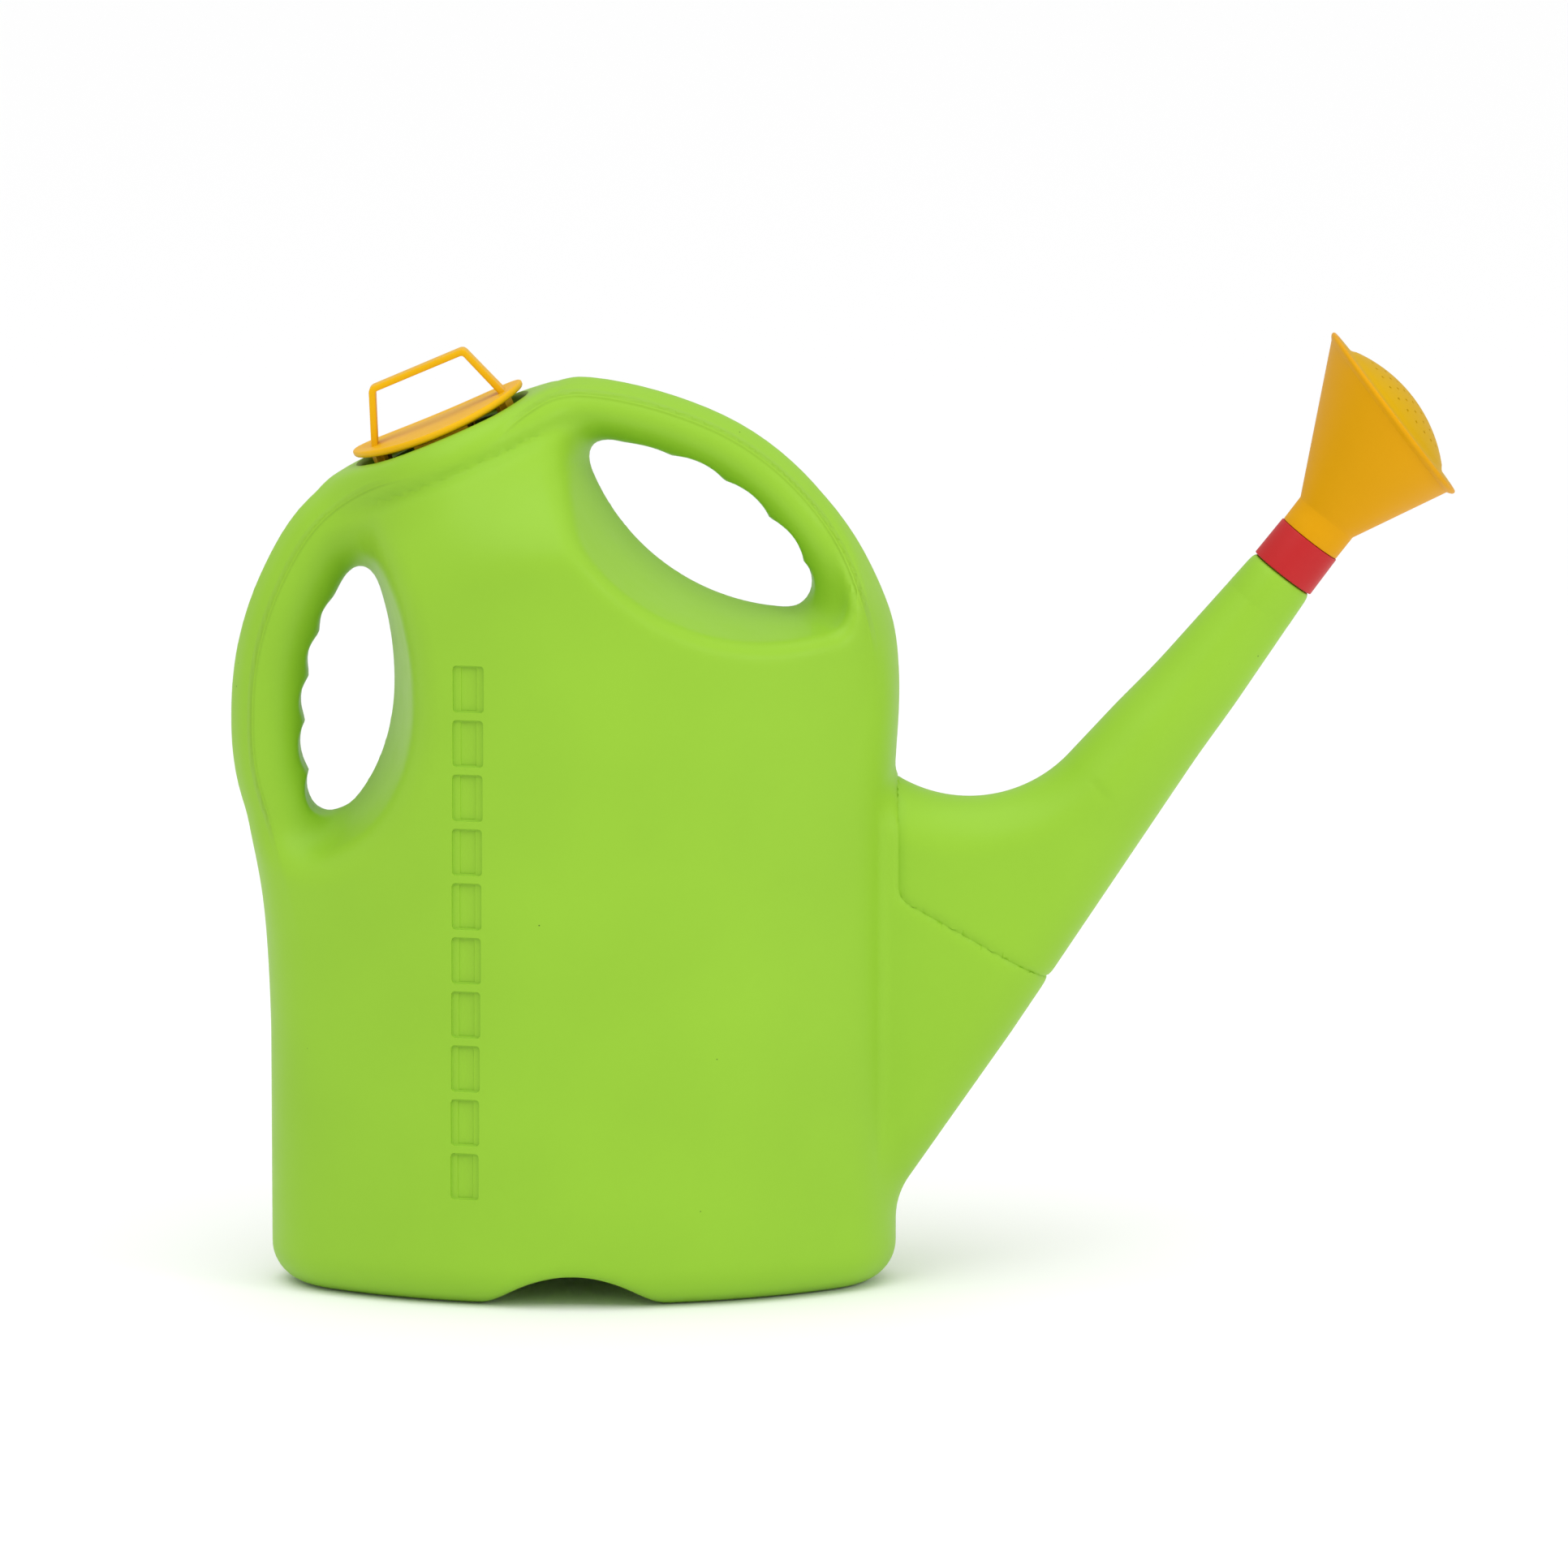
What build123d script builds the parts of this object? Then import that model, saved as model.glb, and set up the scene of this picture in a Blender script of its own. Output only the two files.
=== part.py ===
"""Ten-litre watering can: hollow blow-moulded tank with two grips, lift-off filler cap, swivel collar and rose."""

import os
from math import cos, hypot, pi, radians, sin, sqrt

from build123d import *

os.makedirs("parts", exist_ok=True)

# ---------------------------------------------------------------- driving dimensions, mm
WALL = 2.0  # blow-moulded wall

# tank: a vertical oval prism, flat sides bowed by a large arc and round ends
TANK_LEFT = -254.4
TANK_RIGHT = 23.6
TANK_HALF_DEPTH = 80.0
TANK_END_RADIUS = 50.0
TANK_TOP = 420.0
BASE_FILLET = 18.0

# seat boss: a round plateau whose sides flare down into the tank
SEAT_TILT = 22.8  # degrees, rising towards the spout
SEAT_CENTRE = (-177.2, 381.4)  # X and Z of the cap axis in the plateau plane
BOSS_RADIUS = 48.0
BOSS_FLARE = 38.0
BOSS_HEIGHT = 60.0
BOSS_FILLET = 9.0
RECESS_RADIUS = 40.0
RECESS_DEPTH = 5.0
FILLER_RADIUS = 31.0
GRIP_HALF_WIDTH = 15.0
GRIP_HALF_DEPTH = 19.0
GRIP_INNER_WIDTH = 10.0
GRIP_INNER_DEPTH = 16.0
FINGER_RADIUS = 17.0
FINGER_DEPTH = 2.8

# level windows
WINDOW_COUNT = 10
WINDOW_WIDTH = 13.6
WINDOW_HEIGHT = 20.6
WINDOW_PITCH = 24.0
WINDOW_LOWEST = 58.5
WINDOW_X = -165.5
WINDOW_DEPTH = 0.9
WINDOW_CORNER = 2.0

# finger channel under the base
CHANNEL_X = -121.5
CHANNEL_HALF_WIDTH = 34.0
CHANNEL_HEIGHT = 10.6

# spout: its axis passes through the collar's lower end
SPOUT_ANGLE = 52.3
COLLAR_FOOT = (194.4, 317.05)
SPOUT_END_RADIUS = 15.2
SPOUT_SHOULDER = 2.6
SPOUT_GAP = 0.5
NECK_RADIUS = 12.1
NECK_BORE = 10.0
NECK_LENGTH = 8.5
WEDGE_HALF_WIDTH = 23.0
WEDGE_FILLET = 14.0

# swivel collar and its washer
COLLAR_RADIUS = 14.9
COLLAR_TIP_RADIUS = 14.7
COLLAR_LENGTH = 19.2
COLLAR_BORE = 12.15
SPIGOT_RADIUS = 11.5
SPIGOT_BORE = 9.0
SPIGOT_END = 29.0
WASHER_THICKNESS = 1.45
WASHER_RADIUS = 11.9
WASHER_GAP = 0.05

# rose: funnel on a round neck, lip and face in one oblique plane
ROSE_GAP = 0.2
ROSE_NECK_RADIUS = 14.55
ROSE_BORE = 11.55
ROSE_NECK_END = 31.4
ROSE_WALL = 1.6
ROSE_FACE_ANGLE = 37.4
ROSE_RIM = (242.4, 387.9)
ROSE_RIM_RADIUS = 42.4
ROSE_LIP_RADIUS = 44.4
ROSE_LIP_THICKNESS = 2.4
ROSE_LIP_EDGE = 0.8
ROSE_SEAT = 3.0  # width of the ledge that carries the face
FACE_RADIUS = 40.6
FACE_THICKNESS = 1.6
DOME_RADIUS = 32.0
DOME_HEIGHT = 9.6
HOLE_RADIUS = 0.7
HOLE_RINGS = 4
HOLE_RING_STEP = 6.2

# filler cap
CAP_RADIUS = 40.4
CAP_LIFT = 4.0  # underside of the disc above the plateau
CAP_THICKNESS = 2.6
CAP_EDGE = 1.2
TAB_COUNT = 4
TAB_RADIUS = 30.6  # the tab's lower part, inside the filler hole
TAB_SHOULDER_RADIUS = 33.4  # the tab's upper part, standing on the recess floor
TAB_THICKNESS = 2.2
TAB_WIDTH = 26.0
TAB_BLANK = 8.8  # radial size of the block that each tab is cut from
TAB_DEPTH = 8.0  # reach below the recess floor
STRAP_BASE = 31.3  # half the strap handle's spread at the disc
STRAP_TOP = 21.9
STRAP_TOP_HEIGHT = 29.2
STRAP_THICKNESS = 3.2
STRAP_HALF_WIDTH = 7.0

# ---------------------------------------------------------------- frames worked out from them
TANK_X = (TANK_LEFT + TANK_RIGHT) / 2
TANK_HALF_LENGTH = (TANK_RIGHT - TANK_LEFT) / 2
CUT = 160.0  # reach of cutting solids, past the tank's sides


def tilted_plane(point, angle):
    """A plane at X, Z of point whose normal lies in the XZ plane, angle degrees above +X."""
    across = (sin(radians(angle)), 0, -cos(radians(angle)))
    normal = (cos(radians(angle)), 0, sin(radians(angle)))
    return Plane(origin=(point[0], 0, point[1]), x_dir=across, z_dir=normal)


seat_plane = tilted_plane(SEAT_CENTRE, 90 + SEAT_TILT)
spout_plane = tilted_plane(COLLAR_FOOT, SPOUT_ANGLE)
rim_plane = tilted_plane(ROSE_RIM, ROSE_FACE_ANGLE)


def profile_plane(plane):
    """The XZ plane turned so that its local Y runs along the given plane's normal, for revolved profiles."""
    return Plane(origin=plane.origin, x_dir=plane.x_dir, z_dir=plane.x_dir.cross(plane.z_dir))


def side_radius(inset):
    """Radius of the long side arcs that run tangent into the round ends."""
    half_length = TANK_HALF_LENGTH - inset
    half_depth = TANK_HALF_DEPTH - inset
    end = TANK_END_RADIUS - inset
    return ((half_length - end) ** 2 + half_depth**2 - end**2) / (2 * (half_depth - end))


# ---------------------------------------------------------------- outlines in the XZ plane
# Tank side of each hand opening, from the outer end of the tank's shoulder up to the seat: X and Z in the middle
# plane, then how far the edge moves at the tank's full depth, which leans the scooped side back from the opening.
REAR_EDGE = [
    (-300, 199, 0, -26),
    (-262, 201, 0, -26),
    (-226, 210, 2, -24),
    (-209, 232, 13, -13),
    (-199, 270, 15, 2),
    (-203, 309, 14, 6),
    (-224, 344, 6, 4),
]
FRONT_EDGE = [
    (60, 226, 0, 0),
    (30, 257, 0, 0),
    (10, 286, 0, -5),
    (-20, 301, -2, -11),
    (-56, 308, -9, -14),
    (-98, 338, -19, -13),
    (-115, 366, -18, -4),
    (-119, 398, -8, 0),
]
# wedge under the spout, clockwise from inside the tank's end wall, and the way its underside faces
WEDGE_OUTLINE = [(-20, 190), (24.5, 174), (91.4, 136.6), (21.5, 34.7), (-20, 34.7)]
WEDGE_UNDERSIDE = (0.82, 0, -0.57)

# ellipses that the spout passes through before its straight run: place, tilt of the plane, half-axes
SPOUT_SECTIONS = [
    ((16, 204), 0, 33, 27),
    ((75.8, 176.8), 21.5, 42, 25.5),
    ((102.5, 199.5), 31, 30.5, 24),
    ((120.5, 221.5), SPOUT_ANGLE, 24.2, 22.5),
]

REAR_OUTSIDE = [(-300, 420), (-219, 420)]
FRONT_OUTSIDE = [(60, 450), (-119, 450)]

# centre lines of the grips, running down into the tank at both ends
REAR_GRIP = [(-239.2, 140), (-243, 180), (-254.0, 232), (-251.8, 286), (-229, 338), (-194, 350)]
FRONT_GRIP = [(-158, 358), (-118, 388.6), (-72, 380.5), (-22, 345.5), (3.5, 298), (8.4, 235)]

# finger dents along the inner side of each grip, and the way out of the grip at each
REAR_FINGERS = [(-239.6, 244, 1, 0.1), (-239.4, 265, 1, 0), (-235.6, 284, 1, -0.2), (-228.5, 303, 1, -0.4)]
FRONT_FINGERS = [(-71, 370.5, -0.3, -1), (-49, 358, -0.5, -1), (-30.5, 341, -0.8, -1), (-18.5, 322, -1, -0.6)]


# ---------------------------------------------------------------- shared shapes
def tank_prism(inset):
    """The tank's upright oval with its rounded base, inset from the outer surface."""
    half_length = TANK_HALF_LENGTH - inset
    half_depth = TANK_HALF_DEPTH - inset
    side = side_radius(inset)
    end_centre = TANK_HALF_LENGTH - TANK_END_RADIUS
    side_centre = side - half_depth
    reach = side / hypot(end_centre, side_centre)
    join_x = reach * end_centre
    join_y = reach * side_centre - side_centre
    with BuildPart() as prism:
        with BuildSketch(Plane((TANK_X, 0, inset))):
            with BuildLine():
                ThreePointArc((-join_x, join_y), (0, half_depth), (join_x, join_y))
                ThreePointArc((join_x, join_y), (half_length, 0), (join_x, -join_y))
                ThreePointArc((join_x, -join_y), (0, -half_depth), (-join_x, -join_y))
                ThreePointArc((-join_x, -join_y), (-half_length, 0), (-join_x, join_y))
            make_face()
        extrude(amount=TANK_TOP)
        fillet(prism.edges().group_by(Axis.Z)[0], BASE_FILLET - inset)
    return prism.part


def seat_boss(inset):
    """Everything under the seat: a flaring round boss on a block that holds the rest of the tank."""
    foot = seat_plane.offset(-BOSS_HEIGHT - inset)
    top = seat_plane.offset(-inset)
    with BuildPart() as boss:
        with BuildSketch(foot):
            Circle(BOSS_RADIUS + BOSS_FLARE - inset)
        with BuildSketch(top):
            Circle(BOSS_RADIUS - inset)
        loft()
        fillet(boss.edges().sort_by(Axis((0, 0, 0), seat_plane.z_dir))[-1], BOSS_FILLET)
        with BuildSketch(foot):
            Rectangle(4 * CUT, 2 * CUT)
        extrude(amount=-4 * CUT)
    return boss.part


def moved_sideways(points, distance):
    """Points of an edge moved square to it, to the right of its run from first to last."""
    moved = []
    for index, (x, z) in enumerate(points):
        before_x, before_z = points[max(index - 1, 0)]
        after_x, after_z = points[min(index + 1, len(points) - 1)]
        step = distance / hypot(after_x - before_x, after_z - before_z)
        moved.append((x + step * (after_z - before_z), z - step * (after_x - before_x)))
    return moved


def scoop_cutter(edge, outside, towards_tank):
    """What lies on the far side of a hand opening's edge, leaning back towards the tank's full depth."""
    with BuildPart() as cutter:
        for y, lean in ((-TANK_HALF_DEPTH, 1), (0, 0), (TANK_HALF_DEPTH, 1)):
            with BuildSketch(Plane.XZ.offset(-y)):
                with BuildLine():
                    points = [(x + lean * dx, z + lean * dz) for x, z, dx, dz in edge]
                    rim = Spline(moved_sideways(points, towards_tank))
                    Polyline(rim @ 1, outside[1], outside[0], rim @ 0)
                make_face()
        loft(ruled=True)
    return cutter.part


def wedge(inset):
    """The wedge under the spout, from the tank's end wall out to the spout's underside."""
    with BuildPart() as web:
        with BuildSketch(Plane.XZ):
            with BuildLine():
                Polyline(*WEDGE_OUTLINE, close=True)
            make_face()
            if inset:
                offset(amount=-inset, kind=Kind.INTERSECTION)
        extrude(amount=WEDGE_HALF_WIDTH - inset, both=True)
        underside = web.faces().sort_by(Axis((0, 0, 0), WEDGE_UNDERSIDE))[-1]
        fillet(underside.edges().filter_by(Axis.Y, reverse=True), WEDGE_FILLET - inset)
    return web.part


def spout_tube(inset):
    """The spout from inside the tank's end wall up to its round end, as a loft through ellipses."""
    bent = [(tilted_plane(place, tilt), along, across) for place, tilt, along, across in SPOUT_SECTIONS]
    end = (spout_plane.offset(-SPOUT_GAP - 2 * inset), SPOUT_END_RADIUS, SPOUT_END_RADIUS)
    with BuildPart() as tube:
        for run, straight in ((bent, False), ([bent[-1], end], True)):
            for plane, along, across in run:
                with BuildSketch(plane):
                    Ellipse(along - inset, across - inset)
            loft(ruled=straight)
    return tube.part


def grip(points, half_width, half_depth, fingers=()):
    """An oval tube along a grip's centre line, with round dents across its inner side for the fingers."""
    with BuildPart() as bar:
        with BuildLine() as centre_line:
            Spline([(x, 0, z) for x, z in points])
        run = centre_line.line
        with BuildSketch(Plane(origin=run @ 0, x_dir=(0, 1, 0), z_dir=run % 0)):
            Ellipse(half_depth, half_width)
        sweep()
        for x, z, way_x, way_z in fingers:
            way = (FINGER_RADIUS - FINGER_DEPTH) / hypot(way_x, way_z)
            with BuildSketch(Plane((x + way * way_x, 0, z + way * way_z), z_dir=(0, 1, 0))):
                Circle(FINGER_RADIUS)
            extrude(amount=GRIP_HALF_DEPTH + WALL, both=True, mode=Mode.SUBTRACT)
    return bar.part


def channel(inset):
    """The finger channel that crosses under the base from front to back."""
    radius = (CHANNEL_HALF_WIDTH**2 + CHANNEL_HEIGHT**2) / (2 * CHANNEL_HEIGHT)
    with BuildPart() as groove:
        with BuildSketch(Plane((CHANNEL_X, 0, CHANNEL_HEIGHT - radius), z_dir=(0, 1, 0))):
            Circle(radius + inset)
        extrude(amount=CUT, both=True)
    return groove.part


def tank_shape(inset):
    """The tank with its wedge but without grips or spout, inset from its outer surface."""
    with BuildPart() as shape:
        add(tank_prism(inset))
        add(seat_boss(inset), mode=Mode.INTERSECT)
        add(scoop_cutter(REAR_EDGE, REAR_OUTSIDE, inset), mode=Mode.SUBTRACT)
        add(scoop_cutter(FRONT_EDGE, FRONT_OUTSIDE, -inset), mode=Mode.SUBTRACT)
        add(channel(inset), mode=Mode.SUBTRACT)
        add(wedge(inset))
    return shape.part


outer_tank = tank_shape(0)
inner_tank = tank_shape(WALL)
outer_spout = spout_tube(0)
inner_spout = spout_tube(WALL)


# ---------------------------------------------------------------- tank
rear_hollow = grip(REAR_GRIP, GRIP_INNER_WIDTH, GRIP_INNER_DEPTH)
front_hollow = grip(FRONT_GRIP, GRIP_INNER_WIDTH, GRIP_INNER_DEPTH)

with BuildPart() as seat_pan:
    with BuildSketch(seat_plane.offset(-RECESS_DEPTH - WALL)):
        Circle(RECESS_RADIUS + WALL)
    extrude(amount=RECESS_DEPTH + WALL)
    add(outer_tank, mode=Mode.INTERSECT)

with BuildPart() as tank:
    add(outer_tank)
    add(inner_tank, mode=Mode.SUBTRACT)
    add(rear_hollow, mode=Mode.SUBTRACT)
    add(front_hollow, mode=Mode.SUBTRACT)
    add(inner_spout, mode=Mode.SUBTRACT)
    add(seat_pan.part)
    with BuildSketch(seat_plane.offset(-RECESS_DEPTH)):
        Circle(RECESS_RADIUS)
    extrude(amount=2 * RECESS_DEPTH, mode=Mode.SUBTRACT)
    with BuildSketch(seat_plane.offset(-2 * RECESS_DEPTH)):
        Circle(FILLER_RADIUS)
    extrude(amount=2 * RECESS_DEPTH, mode=Mode.SUBTRACT)
    # level windows, sunk square to the bowed front face
    turn = (WINDOW_X - TANK_X) / side_radius(0)
    face_y = side_radius(0) * (1 - sqrt(1 - turn**2)) - TANK_HALF_DEPTH
    outward = (turn, -sqrt(1 - turn**2), 0)
    along_face = (sqrt(1 - turn**2), turn, 0)
    for row in range(WINDOW_COUNT):
        centre = (WINDOW_X, face_y, WINDOW_LOWEST + row * WINDOW_PITCH)
        with BuildSketch(Plane(centre, x_dir=along_face, z_dir=outward)):
            RectangleRounded(WINDOW_WIDTH, WINDOW_HEIGHT, WINDOW_CORNER)
        extrude(amount=WINDOW_DEPTH, both=True, mode=Mode.SUBTRACT)
tank.part.label = "tank"
export_step(tank.part, "parts/tank.step")


# ---------------------------------------------------------------- grips, hollow and open into the tank at both ends
with BuildPart() as rear_grip:
    add(grip(REAR_GRIP, GRIP_HALF_WIDTH, GRIP_HALF_DEPTH, REAR_FINGERS))
    add(outer_tank, mode=Mode.SUBTRACT)
    add(rear_hollow, mode=Mode.SUBTRACT)
rear_grip.part.label = "rear_grip"
export_step(rear_grip.part, "parts/rear_grip.step")

with BuildPart() as front_grip:
    add(grip(FRONT_GRIP, GRIP_HALF_WIDTH, GRIP_HALF_DEPTH, FRONT_FINGERS))
    add(outer_tank, mode=Mode.SUBTRACT)
    add(front_hollow, mode=Mode.SUBTRACT)
front_grip.part.label = "front_grip"
export_step(front_grip.part, "parts/front_grip.step")


# ---------------------------------------------------------------- spout, bonded to the tank's end wall and wedge
with BuildPart() as spout:
    add(outer_spout)
    fillet(spout.edges().sort_by(Axis((0, 0, 0), spout_plane.z_dir))[-1], SPOUT_SHOULDER)
    with BuildSketch(spout_plane.offset(-SPOUT_SHOULDER)):
        Circle(NECK_RADIUS)
    extrude(amount=SPOUT_SHOULDER + NECK_LENGTH)
    add(inner_spout, mode=Mode.SUBTRACT)
    with BuildSketch(spout_plane.offset(-COLLAR_LENGTH)):
        Circle(NECK_BORE)
    extrude(amount=COLLAR_LENGTH + NECK_LENGTH, mode=Mode.SUBTRACT)
    add(outer_tank, mode=Mode.SUBTRACT)
spout.part.label = "spout"
export_step(spout.part, "parts/spout.step")


# ---------------------------------------------------------------- swivel collar and sealing washer
web_foot = NECK_LENGTH + WASHER_GAP + WASHER_THICKNESS
with BuildPart() as collar:
    with BuildSketch(profile_plane(spout_plane)):
        with BuildLine():
            Polyline(
                (COLLAR_BORE, 0),
                (COLLAR_RADIUS, 0),
                (COLLAR_TIP_RADIUS, COLLAR_LENGTH),
                (SPIGOT_RADIUS, COLLAR_LENGTH),
                (SPIGOT_RADIUS, SPIGOT_END),
                (SPIGOT_BORE, SPIGOT_END),
                (SPIGOT_BORE, web_foot),
                (COLLAR_BORE, web_foot),
                close=True,
            )
        make_face()
    revolve(axis=Axis(spout_plane.origin, spout_plane.z_dir))
collar.part.label = "collar"
export_step(collar.part, "parts/collar.step")

with BuildPart() as washer:
    with BuildSketch(spout_plane.offset(web_foot - WASHER_THICKNESS)):
        Circle(WASHER_RADIUS)
        Circle(SPIGOT_BORE, mode=Mode.SUBTRACT)
    extrude(amount=WASHER_THICKNESS)
washer.part.label = "sealing_washer"
export_step(washer.part, "parts/sealing_washer.step")


# ---------------------------------------------------------------- rose
with BuildPart() as rose_funnel:
    with BuildSketch(spout_plane.offset(COLLAR_LENGTH + ROSE_GAP)):
        Circle(ROSE_NECK_RADIUS)
    extrude(amount=ROSE_NECK_END - COLLAR_LENGTH - ROSE_GAP)
    with BuildSketch(spout_plane.offset(ROSE_NECK_END)):
        Circle(ROSE_NECK_RADIUS)
    with BuildSketch(rim_plane):
        Circle(ROSE_RIM_RADIUS)
    loft()
    with BuildSketch(rim_plane.offset(-ROSE_LIP_THICKNESS / 2)):
        Circle(ROSE_LIP_RADIUS)
    extrude(amount=ROSE_LIP_THICKNESS)
    lip_length = 2 * pi * ROSE_LIP_RADIUS
    fillet(rose_funnel.edges().filter_by(lambda e: abs(e.length - lip_length) < ROSE_GAP), ROSE_LIP_EDGE)
    with BuildSketch(spout_plane.offset(ROSE_NECK_END)):
        Circle(ROSE_BORE)
    with BuildSketch(rim_plane.offset(-ROSE_LIP_THICKNESS / 2)):
        Circle(ROSE_RIM_RADIUS - ROSE_SEAT)
    loft(mode=Mode.SUBTRACT)
    with BuildSketch(rim_plane.offset(-ROSE_LIP_THICKNESS / 2)):
        Circle(ROSE_RIM_RADIUS - ROSE_SEAT)
    extrude(amount=2 * ROSE_LIP_THICKNESS, mode=Mode.SUBTRACT)
    with BuildSketch(rim_plane):
        Circle(FACE_RADIUS)
    extrude(amount=ROSE_LIP_THICKNESS, mode=Mode.SUBTRACT)
    with BuildSketch(spout_plane):
        Circle(ROSE_BORE)
    extrude(amount=ROSE_NECK_END + ROSE_WALL, mode=Mode.SUBTRACT)
rose_funnel.part.label = "rose_funnel"
export_step(rose_funnel.part, "parts/rose_funnel.step")

dome_peak = FACE_THICKNESS + DOME_HEIGHT
dome_inner = DOME_RADIUS - FACE_THICKNESS
with BuildPart() as rose_face:
    with BuildSketch(profile_plane(rim_plane)):
        with BuildLine():
            sphere = (DOME_RADIUS**2 + DOME_HEIGHT**2) / (2 * DOME_HEIGHT)
            outside = RadiusArc((DOME_RADIUS, FACE_THICKNESS), (0, dome_peak), -sphere)
            inside = RadiusArc((0, dome_peak - FACE_THICKNESS), (dome_inner, 0), sphere)
            Polyline(outside @ 1, inside @ 0)
            Polyline(inside @ 1, (FACE_RADIUS, 0), (FACE_RADIUS, FACE_THICKNESS), outside @ 0)
        make_face()
    revolve(axis=Axis(rim_plane.origin, rim_plane.z_dir))
    with BuildSketch(rim_plane):
        Circle(HOLE_RADIUS)
        for ring in range(1, HOLE_RINGS + 1):
            with PolarLocations(ring * HOLE_RING_STEP, 6 * ring):
                Circle(HOLE_RADIUS)
    extrude(amount=2 * dome_peak, mode=Mode.SUBTRACT)
rose_face.part.label = "rose_face"
export_step(rose_face.part, "parts/rose_face.step")


# ---------------------------------------------------------------- filler cap: disc, four shouldered tabs, strap handle
disc_top = CAP_LIFT + CAP_THICKNESS
tab_foot = -RECESS_DEPTH - TAB_DEPTH
with BuildPart() as filler_cap:
    with BuildSketch(seat_plane.offset(CAP_LIFT)):
        Circle(CAP_RADIUS)
    extrude(amount=CAP_THICKNESS)
    fillet(filler_cap.edges(), CAP_EDGE)
    for radius, foot in ((TAB_SHOULDER_RADIUS, -RECESS_DEPTH), (TAB_RADIUS, tab_foot)):
        with BuildSketch(seat_plane.offset(foot)):
            with PolarLocations(radius, TAB_COUNT):
                Rectangle(TAB_BLANK, TAB_WIDTH)
            Circle(radius, mode=Mode.INTERSECT)
            Circle(TAB_RADIUS - TAB_THICKNESS, mode=Mode.SUBTRACT)
        extrude(amount=CAP_LIFT + CAP_THICKNESS / 2 - foot)
    with BuildSketch(profile_plane(seat_plane)):
        with BuildLine():
            FilletPolyline(
                (-STRAP_BASE, disc_top - CAP_EDGE),
                (-STRAP_TOP, STRAP_TOP_HEIGHT),
                (STRAP_TOP, STRAP_TOP_HEIGHT),
                (STRAP_BASE, disc_top - CAP_EDGE),
                radius=STRAP_THICKNESS / 2,
            )
            offset(amount=STRAP_THICKNESS, side=Side.RIGHT)
        make_face()
    extrude(amount=STRAP_HALF_WIDTH, both=True)
filler_cap.part.label = "filler_cap"
export_step(filler_cap.part, "parts/filler_cap.step")
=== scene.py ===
"""Looks of the watering can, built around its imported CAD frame.

Lengths are in millimetres until a mesh is made.
"""

from math import cos, hypot, pi, radians, sin, sqrt

import bmesh
import bpy
import numpy as np
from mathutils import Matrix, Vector


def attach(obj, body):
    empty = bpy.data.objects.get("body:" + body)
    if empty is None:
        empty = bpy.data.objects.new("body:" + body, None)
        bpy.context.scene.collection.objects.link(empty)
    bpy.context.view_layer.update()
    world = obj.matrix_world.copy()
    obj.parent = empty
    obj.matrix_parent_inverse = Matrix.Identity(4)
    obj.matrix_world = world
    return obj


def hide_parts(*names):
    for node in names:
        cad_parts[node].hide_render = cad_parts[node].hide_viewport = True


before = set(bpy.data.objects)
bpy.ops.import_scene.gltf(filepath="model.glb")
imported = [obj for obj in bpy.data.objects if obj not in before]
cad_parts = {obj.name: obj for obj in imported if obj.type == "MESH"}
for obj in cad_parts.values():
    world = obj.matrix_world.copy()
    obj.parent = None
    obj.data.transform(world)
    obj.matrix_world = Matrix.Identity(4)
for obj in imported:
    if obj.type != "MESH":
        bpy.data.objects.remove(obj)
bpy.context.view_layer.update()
MM = 0.001

# ---------------------------------------------------------------- main dimensions, mm
TANK_LEFT, TANK_RIGHT = -254.4, 23.6
HALF_DEPTH, END_RADIUS, BASE_ROUND = 80.0, 50.0, 18.0
WALL = 2.6
CHANNEL_RADIUS, CHANNEL_CENTRE = 49.5, (-119.5, -35.4)  # across under the base
SEAT_TILT, SEAT_CENTRE = 22.8, (-177.2, 381.4)
PLATEAU_RADIUS, PLATEAU_ROUND = 48.5, 8.0
PLATEAU_FLARE = (0.10, 0.0088)  # growth with the depth below the seat, and with its square
WAIST_DEPTH, WAIST_BELOW, WAIST_HEIGHT = 2.8, 16.5, 3.2  # the shallow hollow round the plateau
RECESS_RADIUS, RECESS_DEPTH, FILLER_RADIUS = 40.0, 5.0, 31.0
SPOUT_ANGLE, COLLAR_FOOT = 52.3, (194.4, 317.05)
SPOUT_END_RADIUS, SPOUT_GAP, SPOUT_SHOULDER, SPOUT_TAPER = 15.2, 0.5, 2.6, 0.067
NECK_RADIUS, NECK_BORE, NECK_LENGTH = 12.1, 10.0, 8.5
RIM_ANGLE, RIM_CENTRE = 37.4, (242.4, 387.9)
WINDOW_COUNT, WINDOW_BASE_X, WINDOW_LEAN, WINDOW_LOWEST, WINDOW_PITCH = 10, -166.6, 0.27, 58.8, 24.0
WINDOW_HALF_WIDTH, WINDOW_WIDENING, WINDOW_HALF_HEIGHT, WINDOW_CORNER = 6.3, 0.07, 10.2, 1.6
HOLE_RINGS, HOLE_RING_STEP, HOLE_RADIUS = 4, 6.2, 0.7
OUTER_CELL, CAVITY_CELL = 2.5, 5.0

TANK_X = (TANK_LEFT + TANK_RIGHT) / 2
HALF_LENGTH = (TANK_RIGHT - TANK_LEFT) / 2
END_X = HALF_LENGTH - END_RADIUS
SIDE_RADIUS = (END_X**2 + HALF_DEPTH**2 - END_RADIUS**2) / (2 * (HALF_DEPTH - END_RADIUS))
SIDE_Y = SIDE_RADIUS - HALF_DEPTH


# ---------------------------------------------------------------- blending of distance fields
def smooth_min(a, b, width):
    blend = np.maximum(width - np.abs(a - b), 0) / width
    return np.minimum(a, b) - blend * blend * width / 4


def smooth_max(a, b, width):
    return -smooth_min(-a, -b, width)


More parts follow.
